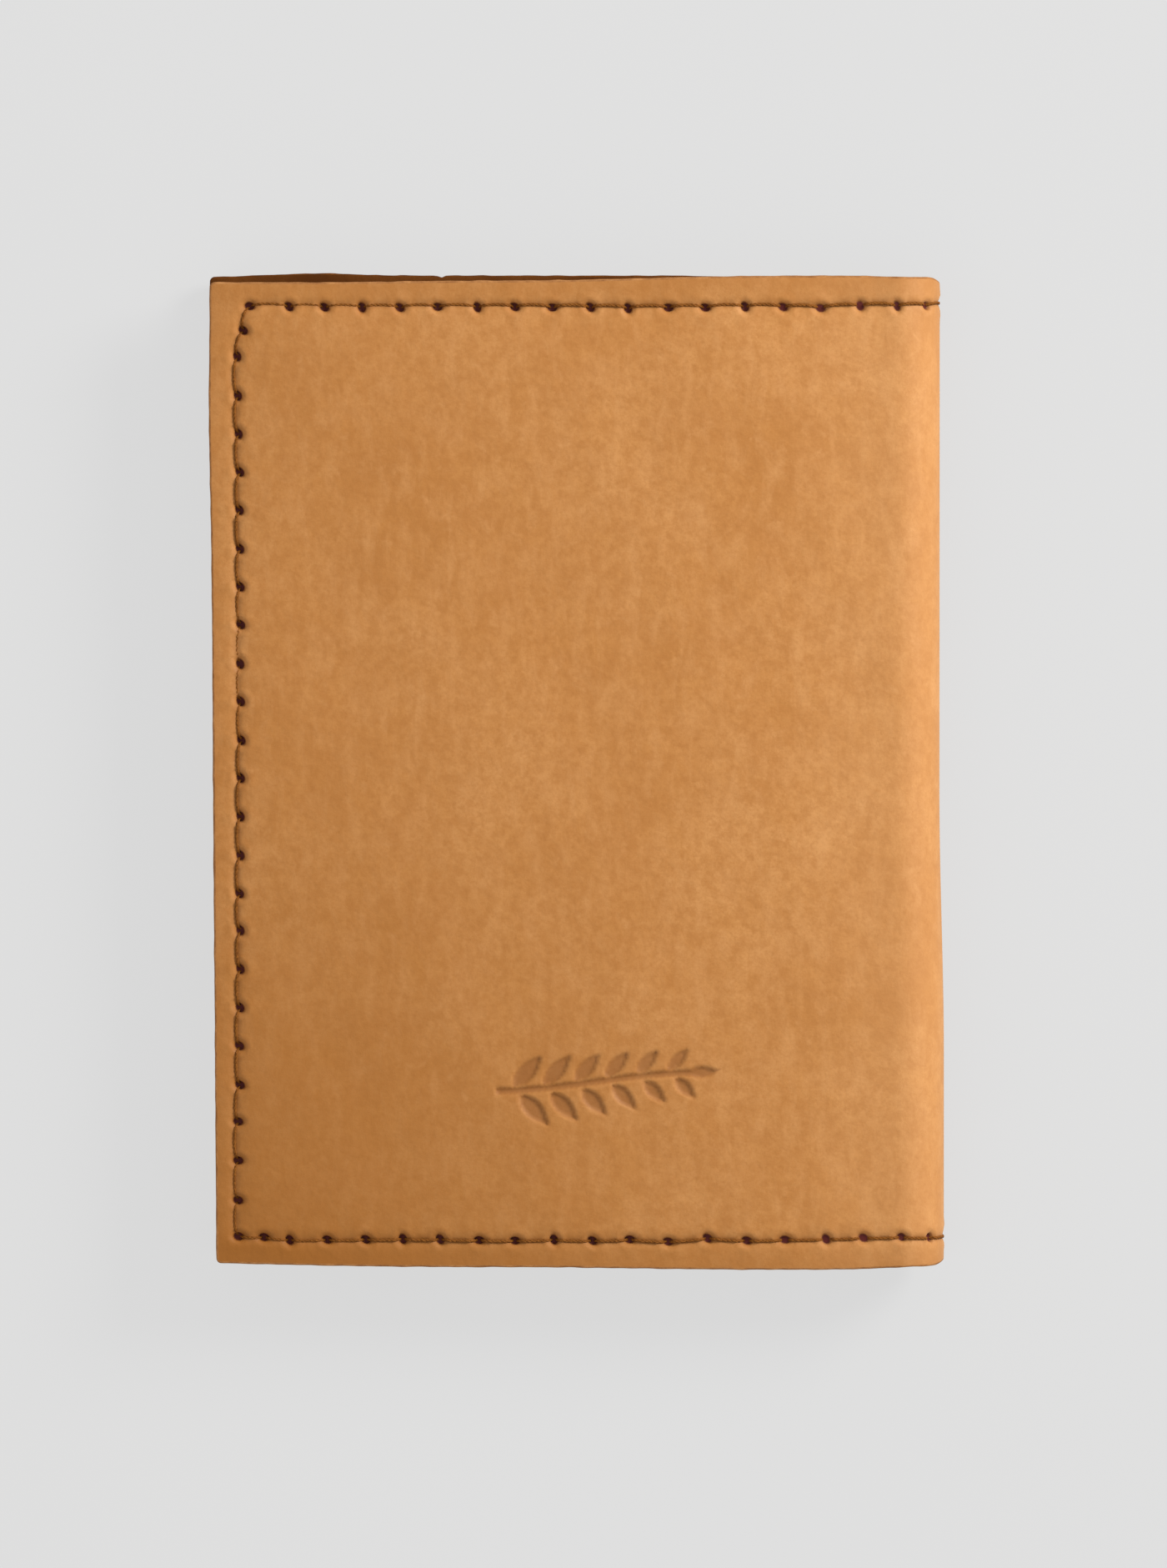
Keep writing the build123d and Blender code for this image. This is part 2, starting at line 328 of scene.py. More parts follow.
def ornament(s, v):
    """How strongly the leather is pressed by the ornament, 0 to 1."""
    ds, dv = s - ORNAMENT_S, v - ORNAMENT_V
    stem = np.abs(dv - twig_height(ds))
    pressed = (1 - smooth(stem, 0.16, 0.42)) * (np.abs(ds) < TWIG_LENGTH)
    for k in range(LEAF_PAIRS):
        x = -TWIG_LENGTH + 1.6 + 3.0 * k
        for side in (1, -1):
            base = (x + 0.7 * (side < 0), twig_height(x) + side * 0.35)
            shape = leaf(ds, dv, base, side * math.radians(47), 4.3 - 0.28 * k, 0.88 - 0.05 * k)
            pressed = np.maximum(pressed, smooth(shape, -0.06, 0.22))
    tip = leaf(ds, dv, (TWIG_LENGTH - 0.7, twig_height(TWIG_LENGTH - 0.7)), 0.05, 3.0, 0.62)
    return np.maximum(pressed, smooth(tip, -0.06, 0.22))


def twig_height(x):
    """Gentle curve of the twig's stem."""
    return 0.9 * np.sin(x / 6.5)


def cover_sink(s, v, rear, pit=0.62):
    """Depth of the cover's grain face under the flat outer face."""
    m = np.minimum(s - INSET, ROW_V - np.abs(v))
    on_flat = 1 - smooth(s, STRAIGHT - 3, STRAIGHT + 3)
    border = 0.10 * smooth(-m, 0.4, 2.8) * on_flat
    pillow = 0.16 * np.exp(-np.clip(m, 0, None) / 3.2) * on_flat
    slope = FOLD_SINK * smooth(s, 42, FOLD_END)
    mouths = 0.05 * smooth(s, SHALLOW_REACH - 1.5, SHALLOW_REACH + 2.5) * on_flat
    waves = 0.075 * wave_noise(s, v, 26, 5 if rear else 6) + 0.022 * wave_noise(s, v, 7, 7)
    ridge = 0.05 * np.exp(-(((s - 12.6) / 1.1) ** 2)) * smooth(v, 34, 44)
    sink = 0.14 + pillow + border + slope + mouths + waves * (1 - smooth(s, STRAIGHT, FOLD_END)) - ridge
    sink = sink + sewn_sink(s, v, HOLES, HOLE_RADIUS, pit, 0.17, 1.0)
    if rear:
        sink = sink + LEAF_DEPTH * ornament(s, v)
    return np.clip(sink, 0.0, COVER - 0.12)


def lining_sink(s, v):
    """Depth of the lining's grain face: soft waves, and creases where it bends inside the fold."""
    creases = 0.07 * np.sin((s - FOLD_END) * 3.1 + 0.5 * np.sin(v / 4)) * smooth(s, STRAIGHT, FOLD_END - 2)
    return 0.03 * wave_noise(s, v, 14, 21) + creases * (1 - smooth(s, FOLD_END - 0.8, FOLD_END))


def pocket_rise(s, v, rise):
    """How far a pocket panel stands up off the layer below it, from its sewn edge to its middle."""
    m = np.minimum(s, HALF_HEIGHT - np.abs(v))
    return rise * smooth(m, 3.9, 6.3)


# ---- turning a layer into a closed mesh: two faces and a rounded cut edge between them ----
def grid_points(step_fold, step_s, step_v):
    """Loose grid of points over a layer, closer together round the fold."""
    s_values = list(np.arange(step_s * 0.6, STRAIGHT - 7, step_s))
    s_values += list(np.arange(s_values[-1] + 0.9, STRAIGHT - 0.4, 0.9))
    s_values += list(np.arange(STRAIGHT, FOLD_END - 0.2, step_fold)) + [FOLD_END - 0.06]
    v_values = np.arange(-HALF_HEIGHT + 0.7, HALF_HEIGHT - 0.5, step_v)
    s_grid, v_grid = np.meshgrid(np.array(s_values), v_values, indexing="ij")
    v_grid = v_grid + 0.5 * step_v * (np.arange(len(s_values)) % 2)[:, None]
    return np.stack([s_grid.ravel(), v_grid.ravel()], axis=1)


def sewing_points(holes, hole_radius, rings=(0.4, 0.72, 0.86, 1.0, 1.14, 1.45, 1.95, 2.6)):
    """Rings of points round each needle hole and rows of points along each stitch."""
    points = []
    for hs, hv in holes:
        points.append((hs, hv))
        for ring in rings:
            count = 8 if ring < 0.5 else 16
            for k in range(count):
                a = math.tau * (k + 0.5 * (ring > 1.2)) / count
                points.append((hs + ring * hole_radius * math.cos(a), hv + ring * hole_radius * math.sin(a)))
    clear = 2.85 * hole_radius
    for (s0, v0), (s1, v1) in zip(holes, holes[1:]):
        length = math.hypot(s1 - s0, v1 - v0)
        if length < 2.1 * clear:
            continue
        along = ((s1 - s0) / length, (v1 - v0) / length)
        out = (along[1], -along[0])
        count = max(2, int((length - 2 * clear) / 0.33) + 1)
        for t in np.linspace(clear, length - clear, count):
            for across in (-1.0, -0.6, -0.32, -0.12, 0.06, 0.22, 0.38, 0.56, 0.9, 1.3):
                points.append((s0 + t * along[0] + across * out[0], v0 + t * along[1] + across * out[1]))
    return np.array(points)


def ornament_points(step=0.24):
    """Fine grid of points over the ornament."""
    a, b = ORNAMENT_HALF
    s_grid, v_grid = np.meshgrid(np.arange(-a, a, step), np.arange(-b, b, step), indexing="ij")
    v_grid = v_grid + 0.5 * step * (np.arange(s_grid.shape[0]) % 2)[:, None]
    return np.stack([s_grid.ravel() + ORNAMENT_S, v_grid.ravel() + ORNAMENT_V], axis=1)


def thin_out(base, special, clear):
    """Base points that aren't close to a special point, found on a coarse grid of cells."""
    taken = {}
    for p in special:
        taken.setdefault((int(p[0] // clear), int(p[1] // clear)), []).append(p)
    kept = []
    for p in base:
        i, j = int(p[0] // clear), int(p[1] // clear)
        near = (q for a in (-1, 0, 1) for b in (-1, 0, 1) for q in taken.get((i + a, j + b), ()))
        if all((q[0] - p[0]) ** 2 + (q[1] - p[1]) ** 2 > clear * clear for q in near):
            kept.append(p)
    return np.array(kept)


def inside(points, ring, margin):
    """Which points lie inside the outline ring by at least the margin."""
    x, y = points[:, 0], points[:, 1]
    hit = np.zeros(len(points), bool)
    near = np.full(len(points), 1e9)
    for (x0, y0), (x1, y1) in zip(ring, np.roll(ring, -1, axis=0)):
        crosses = (y0 > y) != (y1 > y)
        if y1 != y0:
            hit ^= crosses & (x < (x1 - x0) * (y - y0) / (y1 - y0) + x0)
        d = np.array([x1 - x0, y1 - y0])
        t = np.clip(((x - x0) * d[0] + (y - y0) * d[1]) / (d @ d), 0, 1)
        near = np.minimum(near, np.hypot(x - x0 - t * d[0], y - y0 - t * d[1]))
    return hit & (near > margin)


def triangles(ring, points):
    """Triangles over an outline and points inside it. The ring's points come first."""
    every = [Vector((float(p[0]), float(p[1]))) for p in np.concatenate([ring, points])]
    face = list(range(len(ring)))
    _, _, faces, origins, _, _ = delaunay_2d_cdt(every, [], [face], 1, 1e-5)
    source = [o[0] if o else -1 for o in origins]
    missing = set(face) - set(source)
    if missing:
        raise RuntimeError(f"the outline lost {len(missing)} points")
    return [tuple(source[i] for i in f) for f in faces]


EDGE_ROUND = 0.2
FACE, BACK, CUT_EDGE = 0, 1, 2
# how far in from the outline the faces turn darker
EDGE_DARK_REACH = 1.1
FRONT_PATTERN_SHIFT = 40


def edge_walls(ring, normal, face_depth, back_depth):
    """Rings of points down the cut edge, as (places, depths): rounded at the grain side, a little rough."""
    thick = np.abs(back_depth - face_depth)
    down = np.sign(back_depth - face_depth)
    s, v = ring[:, 0], ring[:, 1]
    rough = (0.022 * wave_noise(s, v, 3.1, 31) + 0.008 * wave_noise(s, v, 1.3, 32))[:, None]
    walls = []
    for inset, drop in ((0.32, 0.03), (0.06, 0.11), (0.0, 0.24)):
        walls.append((ring + normal * (EDGE_ROUND * inset - rough * (1 - inset)), face_depth + down * drop))
    for share in (0.45, 0.7):
        walls.append((ring - normal * rough * 0.7, face_depth + down * thick * share))
    walls.append((ring + normal * 0.05, back_depth - down * 0.06))
    return walls


def add_attribute(mesh, name, kind, values):
    """Gives every point of the mesh a value that the materials read."""
    layer = mesh.attributes.new(name, kind, "POINT")
    key = "vector" if kind == "FLOAT_VECTOR" else "value"
    layer.data.foreach_set(key, np.asarray(values, dtype=np.float32).ravel())


def mark_seam(mesh, starts, first_seam, last_seam):
    """Sharp edges along the seam at the middle of the fold, on the face and on the back."""
    seam = {(start + i, start + i + 1) for start in starts for i in range(first_seam, last_seam)}
    marks = mesh.attributes.new("sharp_edge", "BOOLEAN", "EDGE")
    marks.data.foreach_set("value", [tuple(sorted(e.vertices)) in seam for e in mesh.edges])


def leather_mesh(name, edges, reach, seam, face_depth, back_depth, rear, face_points, back_points, face_out):
    """A closed sheet of leather. The face is the grain side; face_out says that it looks outwards.

    Returns the object and the flat places of its points."""
    ring, first_seam, last_seam = outline(edges, reach, seam)
    normal = inward(ring, first_seam, last_seam, seam)
    count = len(ring)
    face_ring = ring + normal * EDGE_ROUND
    back_ring = ring + normal * EDGE_ROUND * 0.6
    face_inner = face_points[inside(face_points, face_ring, 0.10)]
    back_inner = back_points[inside(back_points, back_ring, 0.5)]
    face_flat = np.concatenate([face_ring, face_inner])
    back_flat = np.concatenate([back_ring, back_inner])
    face_down = face_depth(face_flat[:, 0], face_flat[:, 1])
    back_down = back_depth(back_flat[:, 0], back_flat[:, 1])
    walls = edge_walls(ring, normal, face_down[:count], back_down[:count])
    flat = np.concatenate([face_flat, back_flat] + [spots for spots, _ in walls])
    depth = np.concatenate([face_down, back_down] + [level for _, level in walls])

    back_start = len(face_flat)
    wall_start = back_start + len(back_flat)
    faces = triangles(face_ring, face_inner)
    kinds = [FACE] * len(faces)
    faces += [tuple(back_start + i for i in reversed(t)) for t in triangles(back_ring, back_inner)]
    kinds += [BACK] * (len(faces) - len(kinds))
    starts = [0] + [wall_start + k * count for k in range(len(walls))] + [back_start]
    for a, b in zip(starts, starts[1:]):
        for i in range(count):
            j = (i + 1) % count
            faces.append((a + j, a + i, b + i, b + j))
    kinds += [CUT_EDGE] * (len(faces) - len(kinds))
    if face_out != rear:
        faces = [tuple(reversed(f)) for f in faces]

    mesh = bpy.data.meshes.new(name)
    mesh.from_pydata(place(flat[:, 0], flat[:, 1], depth, rear).tolist(), [], faces)
    mesh.polygons.foreach_set("material_index", kinds)
    mesh.polygons.foreach_set("use_smooth", [True] * len(faces))
    apart = 0 if rear else FRONT_PATTERN_SHIFT
    to_edge = np.minimum(flat[:, 0], HALF_HEIGHT - np.abs(flat[:, 1]))
    add_attribute(mesh, "leather", "FLOAT_VECTOR", np.column_stack([flat, depth + apart]) * MM)
    add_attribute(mesh, "edge", "FLOAT", np.exp(-to_edge / EDGE_DARK_REACH))
    mark_seam(mesh, (0, back_start) if seam else (), first_seam, last_seam)
    mesh.validate()
    mesh.update()
    obj = bpy.data.objects.new(name, mesh)
    bpy.context.scene.collection.objects.link(obj)
    return obj, flat


def mark_holes(obj, flat, holes, radius, twig=False):
    """Masks for the painted shade inside the needle holes and along the thread's groove, and for the pressed
    ornament.
    """
    s, v = flat[:, 0], flat[:, 1]
    # painted shade inside the needle holes
    hole = 1 - smooth(hole_distance(s, v, holes), radius * 0.75, radius * 1.15)
    # painted shade along the stitches' groove
    groove = np.exp(-((stitch_distance(s, v, holes) / 0.24) ** 2))
    press = ornament(s, v) if twig else np.zeros(len(flat))
    for name, values in (("hole", hole), ("groove", groove), ("press", press)):
        add_attribute(obj.data, name, "FLOAT", values)


# ---- threads: three plies twisted together, one stitch after another ----
def add_tube(verts, faces, path, radius, sides):
    """Adds a round tube along a path of points, closed at both ends."""
    path = np.array(path)
    tangent = np.gradient(path, axis=0)
    tangent /= np.linalg.norm(tangent, axis=1)[:, None]
    up = np.array([0.0, 0.0, 1.0]) if abs(tangent[0][2]) < 0.9 else np.array([1.0, 0.0, 0.0])
    start = len(verts)
    for p, t in zip(path, tangent):
        side = np.cross(t, up)
        side /= np.linalg.norm(side)
        up = np.cross(side, t)
        for k in range(sides):
            a = math.tau * k / sides
            verts.append(tuple(p + radius * (math.cos(a) * side + math.sin(a) * up)))
    for i in range(len(path) - 1):
        for k in range(sides):
            a, b = start + i * sides + k, start + i * sides + (k + 1) % sides
            faces.append((a, a + sides, b + sides, b))
    faces.append(tuple(start + k for k in range(sides)))
    end = start + (len(path) - 1) * sides
    faces.append(tuple(end + k for k in reversed(range(sides))))


PLIES = 3
PLY_TURN = 1.5
PLY_SIZE = 0.54
PLY_OFFSET = 0.50
PLY_SIDES = 6
STITCH_POINTS = 22
HOLE_GAP = 0.16


def thread_object(name, holes, rear, surface, radius, dive, bow_share, outward):
    """Stitches between holes: each comes up out of a hole, lies on the surface and goes down the next."""
    verts, faces = [], []
    lift = radius * PLY_OFFSET
    ease = np.linspace(0, 1, STITCH_POINTS)
    for number, ((s0, v0), (s1, v1)) in enumerate(zip(holes, holes[1:])):
        length = math.hypot(s1 - s0, v1 - v0)
        along = np.array([(s1 - s0) / length, (v1 - v0) / length])
        out = np.array([along[1], -along[0]])
        run = HOLE_GAP + (length - 2 * HOLE_GAP) * ease
        bow = bow_share * stitch_bow((s0, v0), (s1, v1)) * bow_shape(ease)
        s = s0 + along[0] * run + bow * out[0]
        v = v0 + along[1] * run + bow * out[1]
        down = dive * (1 - smooth(np.minimum(ease, 1 - ease) * length, 0.0, 0.5))
        centre = surface(s, v) + outward * (down - radius * 0.55)
        for k in range(PLIES):
            turn = math.tau * (k / PLIES + ease * length / PLY_TURN) + number
            side = lift * np.cos(turn)
            path = place(s + side * out[0], v + side * out[1], centre + lift * np.sin(turn), rear)
            add_tube(verts, faces, path / MM, radius * PLY_SIZE, PLY_SIDES)
    mesh = bpy.data.meshes.new(name)
    mesh.from_pydata((np.array(verts) * MM).tolist(), [], faces)
    mesh.polygons.foreach_set("use_smooth", [True] * len(faces))
    mesh.update()
    obj = bpy.data.objects.new(name, mesh)
    bpy.context.scene.collection.objects.link(obj)
    return obj


# ---- materials ----
class Nodes:
    """Short way to add and join shader nodes."""

    def __init__(self, name):
        self.material = bpy.data.materials.new(name)
        self.material.use_nodes = True
        self.tree = self.material.node_tree
        self.shader = self.tree.nodes["Principled BSDF"]

    def add(self, kind, **values):
        node = self.tree.nodes.new(kind)
        for key, value in values.items():
            if hasattr(node, key):
                setattr(node, key, value)
            else:
                node.inputs[key.replace("_", " ")].default_value = value
        return node

    def join(self, a, b):
        self.tree.links.new(a, b)

    def attribute(self, name):
        node = self.add("ShaderNodeAttribute")
        node.attribute_name = name
        return node

    def noise(self, vector, scale, detail=2.0, rough=0.5, distortion=0.0):
        shape = {"Scale": scale, "Detail": detail, "Roughness": rough, "Distortion": distortion}
        node = self.add("ShaderNodeTexNoise", **shape)
        self.join(vector, node.inputs["Vector"])
        return node.outputs["Fac"]

    def spread(self, value, low, high, to_low=0.0, to_high=1.0):
        node = self.add("ShaderNodeMapRange")
        node.inputs["From Min"].default_value = low
        node.inputs["From Max"].default_value = high
        node.inputs["To Min"].default_value = to_low
        node.inputs["To Max"].default_value = to_high
        self.join(value, node.inputs["Value"])
        return node.outputs["Result"]

    def maths(self, operation, a, b):
        node = self.add("ShaderNodeMath", operation=operation)
        for socket, value in zip(node.inputs, (a, b)):
            if isinstance(value, (int, float)):
                socket.default_value = value
            else:
                self.join(value, socket)
        return node.outputs[0]

    def mix(self, factor, a, b):
        node = self.add("ShaderNodeMix", data_type="RGBA")
        for socket, value in ((node.inputs[0], factor), (node.inputs[6], a), (node.inputs[7], b)):
            if isinstance(value, (int, float, tuple)):
                socket.default_value = value
            else:
                self.join(value, socket)
        return node.outputs[2]

    def bump(self, height, strength, distance, below=None):
        node = self.add("ShaderNodeBump", Strength=strength, Distance=distance)
        self.join(height, node.inputs["Height"])
        if below is not None:
            self.join(below, node.inputs["Normal"])
        return node.outputs["Normal"]


# colour of the painted highlight along the fold
FOLD_HIGHLIGHT_COLOUR = (0.60, 0.31, 0.125, 1)


def painted_shade_and_highlight(n, where, colour, deep):
    """Painted light over the cover: painted shade, deeper at the lower left; darker in the top and bottom
    margins too; and a painted highlight, paler at the fold.
    """
    split = n.add("ShaderNodeSeparateXYZ")
    n.join(where, split.inputs[0])
    across, up = split.outputs["X"], split.outputs["Y"]
    # painted shade: darker towards the bottom and towards the open side
    low = n.spread(up, -0.048, 0.005, 0.62, 0.0)
    low = n.maths("MULTIPLY", low, n.spread(across, 0.0, 0.062, 1.0, 0.1))
    low = n.maths("ADD", low, n.spread(across, 0.0, 0.068, 0.26, 0.0))
    margin = n.spread(n.maths("ABSOLUTE", up, 0.0), 0.0442, 0.0472, 0.0, 0.26)
    colour = n.mix(n.maths("ADD", low, margin), colour, deep)
    # painted highlight: paler towards the crest of the fold
    fold_highlight = n.spread(across, 0.056, 0.0738, 0.0, 0.24)
    return n.mix(fold_highlight, colour, FOLD_HIGHLIGHT_COLOUR)


def leather_material(name, pale, main, dark, hole_shade_colour, burnish_and_groove_shade, painted_shade_colour, gloss, sheen):
    """Full-grain leather: soft clouds of tone, fine grain, small pores, and painted shade in the sewn holes
    and along the groove.
    """
    n = Nodes(name)
    where = n.attribute("leather").outputs["Vector"]
    clouds = n.noise(where, 55, 3.0, 0.55, 0.4)
    patches = n.noise(where, 190, 4.0, 0.6)
    blotches = n.noise(where, 430, 3.0, 0.6, 0.5)
    speckle = n.noise(where, 900, 3.0, 0.65)
    fine = n.noise(where, 3200, 3.0, 0.6)
    stretch = n.add("ShaderNodeMapping")
    stretch.inputs["Scale"].default_value = (1.0, 0.36, 1.0)
    n.join(where, stretch.inputs["Vector"])
    streaks = n.noise(stretch.outputs["Vector"], 620, 4.0, 0.6, 0.3)
    colour = n.mix(n.spread(clouds, 0.32, 0.68), dark, pale)
    colour = n.mix(n.spread(patches, 0.3, 0.7, 0.30, 0.70), colour, main)
    colour = n.mix(n.spread(blotches, 0.40, 0.60, 0.0, 0.55), colour, n.mix(0.5, colour, dark))
    colour = n.mix(n.spread(blotches, 0.56, 0.72, 0.0, 0.45), colour, pale)
    colour = n.mix(n.spread(speckle, 0.40, 0.62, 0.0, 0.55), colour, dark)
    colour = n.mix(n.spread(streaks, 0.46, 0.72, 0.0, 0.48), colour, pale)
    colour = n.mix(n.spread(fine, 0.45, 0.68, 0.0, 0.34), colour, dark)
    # painted shade and painted highlight over the cover, by place
    if painted_shade_colour:
        colour = painted_shade_and_highlight(n, where, colour, painted_shade_colour)
        # the pressed ornament is burnished darker
        colour = n.mix(n.maths("MULTIPLY", n.attribute("press").outputs["Fac"], 0.6), colour, burnish_and_groove_shade)
    # darker towards the outline of each piece
    edge = n.attribute("edge").outputs["Fac"]
    colour = n.mix(n.maths("MULTIPLY", edge, 0.22), colour, dark)
    # painted shade along the thread's groove
    colour = n.mix(n.maths("MULTIPLY", n.attribute("groove").outputs["Fac"], 0.55), colour, burnish_and_groove_shade)
    # painted shade inside the needle holes
    colour = n.mix(n.attribute("hole").outputs["Fac"], colour, hole_shade_colour)
    n.join(colour, n.shader.inputs["Base Color"])
    n.join(n.spread(patches, 0.25, 0.75, 0.58, 0.74), n.shader.inputs["Roughness"])
    n.shader.inputs["Specular IOR Level"].default_value = gloss
    n.shader.inputs["Sheen Weight"].default_value = sheen
    n.shader.inputs["Sheen Roughness"].default_value = 0.45
    n.shader.inputs["Sheen Tint"].default_value = (1.0, 0.86, 0.7, 1.0)
    cells = n.add("ShaderNodeTexVoronoi", Scale=1500.0)
    cells.feature = "SMOOTH_F1"
    n.join(where, cells.inputs["Vector"])
    grain = n.bump(cells.outputs["Distance"], 0.22, 0.00012)
    grain = n.bump(n.noise(where, 2600, 4.0, 0.6), 0.30, 0.00010, grain)
    grain = n.bump(n.noise(where, 320, 3.0, 0.5), 0.25, 0.00016, grain)
    n.join(grain, n.shader.inputs["Normal"])
    return n.material


def cut_edge_material(name, main, dark):
    """Cut edge of the leather: packed fibres in thin lines along the edge."""
    n = Nodes(name)
    where = n.attribute("leather").outputs["Vector"]
    stretch = n.add("ShaderNodeMapping")
    stretch.inputs["Scale"].default_value = (1.0, 1.0, 7.0)
    n.join(where, stretch.inputs["Vector"])
    fibres = n.noise(stretch.outputs["Vector"], 900, 5.0, 0.7)
    clumps = n.noise(where, 400, 3.0, 0.5)
    colour = n.mix(n.spread(fibres, 0.35, 0.65), dark, main)
    colour = n.mix(n.spread(clumps, 0.4, 0.7, 0.0, 0.5), colour, dark)
    n.join(colour, n.shader.inputs["Base Color"])
    n.join(n.spread(fibres, 0.3, 0.7, 0.78, 0.92), n.shader.inputs["Roughness"])
    n.shader.inputs["Specular IOR Level"].default_value = 0.06
    rough = n.bump(fibres, 0.6, 0.00008)
    n.join(n.bump(clumps, 0.4, 0.0001, rough), n.shader.inputs["Normal"])
    return n.material


def suede_material(name, main, dark):
    """Flesh side of the leather: short nap."""
    n = Nodes(name)
    where = n.attribute("leather").outputs["Vector"]
    nap = n.noise(where, 2200, 5.0, 0.75)
    clouds = n.noise(where, 160, 3.0, 0.5)
    colour = n.mix(n.spread(clouds, 0.3, 0.7), dark, main)
    colour = n.mix(n.spread(nap, 0.45, 0.75, 0.0, 0.5), colour, dark)
    n.join(colour, n.shader.inputs["Base Color"])
    n.join(n.spread(nap, 0.3, 0.7, 0.85, 0.97), n.shader.inputs["Roughness"])
    n.shader.inputs["Specular IOR Level"].default_value = 0.05
    n.join(n.bump(nap, 0.5, 0.00012), n.shader.inputs["Normal"])
    return n.material


def thread_material(name, main, dark):
    """Bonded sewing thread: a little sheen, and painted shade between its fibres."""
    n = Nodes(name)
    where = n.add("ShaderNodeTexCoord").outputs["Object"]
    fibre = n.noise(where, 5200, 3.0, 0.6)
    soil = n.noise(where, 260, 2.0, 0.5)
    # painted shade: darker where the fibre bump lies low
    colour = n.mix(n.spread(fibre, 0.35, 0.65), dark, main)
    colour = n.mix(n.spread(soil, 0.45, 0.75, 0.0, 0.4), colour, dark)
    n.join(colour, n.shader.inputs["Base Color"])
    n.join(n.spread(fibre, 0.3, 0.7, 0.55, 0.72), n.shader.inputs["Roughness"])
    n.shader.inputs["Specular IOR Level"].default_value = 0.08
    n.join(n.bump(fibre, 0.35, 0.00005), n.shader.inputs["Normal"])
    return n.material


tan = leather_material(
    "tan_cover_leather",
    pale=(0.515, 0.250, 0.084, 1),
    main=(0.440, 0.190, 0.046, 1),
    dark=(0.345, 0.132, 0.025, 1),
    # colour of the painted shade inside the needle holes
    hole_shade_colour=(0.066, 0.0018, 0.0002, 1),
    # colour of the pressed ornament's burnish and of the painted shade along the groove
    burnish_and_groove_shade=(0.20, 0.068, 0.011, 1),
    # colour of the painted shade at the lower left, also used for the darker top and bottom margins
    painted_shade_colour=(0.24, 0.080, 0.004, 1),
    gloss=0.30,
    sheen=0.08,
)
brown = leather_material(
    "brown_interior_leather",
    pale=(0.122, 0.043, 0.011, 1),
    main=(0.094, 0.031, 0.008, 1),
    dark=(0.062, 0.019, 0.005, 1),
    # colour of the painted shade inside the needle holes
    hole_shade_colour=(0.008, 0.003, 0.002, 1),
    # colour of the painted shade along the groove
    burnish_and_groove_shade=(0.050, 0.018, 0.007, 1),
    painted_shade_colour=None,
    gloss=0.20,
    sheen=0.0,
)
tan_edge = cut_edge_material("tan_cut_edge", (0.40, 0.185, 0.065, 1), (0.22, 0.090, 0.030, 1))
brown_edge = cut_edge_material("brown_cut_edge", (0.150, 0.046, 0.006, 1), (0.060, 0.018, 0.003, 1))
tan_flesh = suede_material("tan_flesh_side", (0.42, 0.22, 0.09, 1), (0.30, 0.14, 0.05, 1))
brown_flesh = suede_material("brown_flesh_side", (0.105, 0.034, 0.006, 1), (0.060, 0.018, 0.003, 1))
tan_thread = thread_material("tan_thread", (0.23, 0.083, 0.013, 1), (0.13, 0.042, 0.006, 1))
brown_thread = thread_material("brown_thread", (0.17, 0.070, 0.024, 1), (0.08, 0.030, 0.011, 1))


def with_base(special, clear=0.62):
    """Special points, with the even grid wherever it is clear of them."""
    return np.concatenate([special, thin_out(base_grid, special, clear)])


base_grid = grid_points(0.4, 1.25, 1.6)
coarse_grid = grid_points(0.8, 3.2, 4.0)
sewn = sewing_points(HOLES, HOLE_RADIUS)
sewn_inner = sewing_points(HOLES, NARROW_HOLE, (0.5, 0.9, 1.2, 1.8, 2.8))
rear_points = with_base(np.concatenate([sewn, ornament_points()]))
front_points = with_base(sewn)
lining_points = with_base(sewn_inner)


def dress(obj, *materials):
    for material in materials:
        obj.data.materials.append(material)


def bend(piece):
    """Bakes the piece's placement into its mesh."""
    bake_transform(piece)


def replace(half, part):
    """Stands in for the half's CAD node and, on the rear half, for the spine's node of the same leather."""
    spine = [f"spine_{part}"] if half == "rear" else []
    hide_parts(f"{half}_{part}", *spine)


def narrow_sewing(s, v, holes):
    """Sink at the stitches on the inside, where the holes are narrow and the thread lies nearly flat."""
    return sewn_sink(s, v, holes, NARROW_HOLE, 0.3, 0.04, 0.3)


def flat_back(s, v):
    """The cover and the lining meet at one even depth."""
    return np.full(s.shape, COVER)


def build_cover(half):
    rear = half == "rear"

    def face(s, v):
        return cover_sink(s, v, rear)

    points = rear_points if rear else front_points
    cover, flat = leather_mesh(
        f"{half}_cover_leather", cover_edges, FOLD_END, True, face, flat_back, rear, points, coarse_grid, True
    )
    mark_holes(cover, flat, HOLES, HOLE_RADIUS, rear)
    dress(cover, tan, tan_flesh, tan_edge)
    bend(cover)
    replace(half, "cover")
    return cover


def build_lining(half):
    def face(s, v):
        return LINED - lining_sink(s, v) - narrow_sewing(s, v, HOLES)

    rear = half == "rear"
    lining, flat = leather_mesh(
        f"{half}_lining_leather", inner_edges, FOLD_END, True, face, flat_back, rear,
        lining_points, coarse_grid, False,
    )
    mark_holes(lining, flat, HOLES, NARROW_HOLE)
    dress(lining, brown, brown_flesh, brown_edge)
    bend(lining)
    replace(half, "lining")
    return lining


def ramp_points(reach):
    """Points over the slope of a pocket panel, between its sewn edge and its raised middle."""
    points = []
    for m in np.arange(3.9, 6.5, 0.4):
        points += [(m, v) for v in np.arange(-HALF_HEIGHT + m, HALF_HEIGHT - m, 0.9)]
        points += [(s, side * (HALF_HEIGHT - m)) for s in np.arange(m, reach - 0.6, 0.9) for side in (-1, 1)]
    return thin_out(np.array(points), sewn_inner, 0.25)


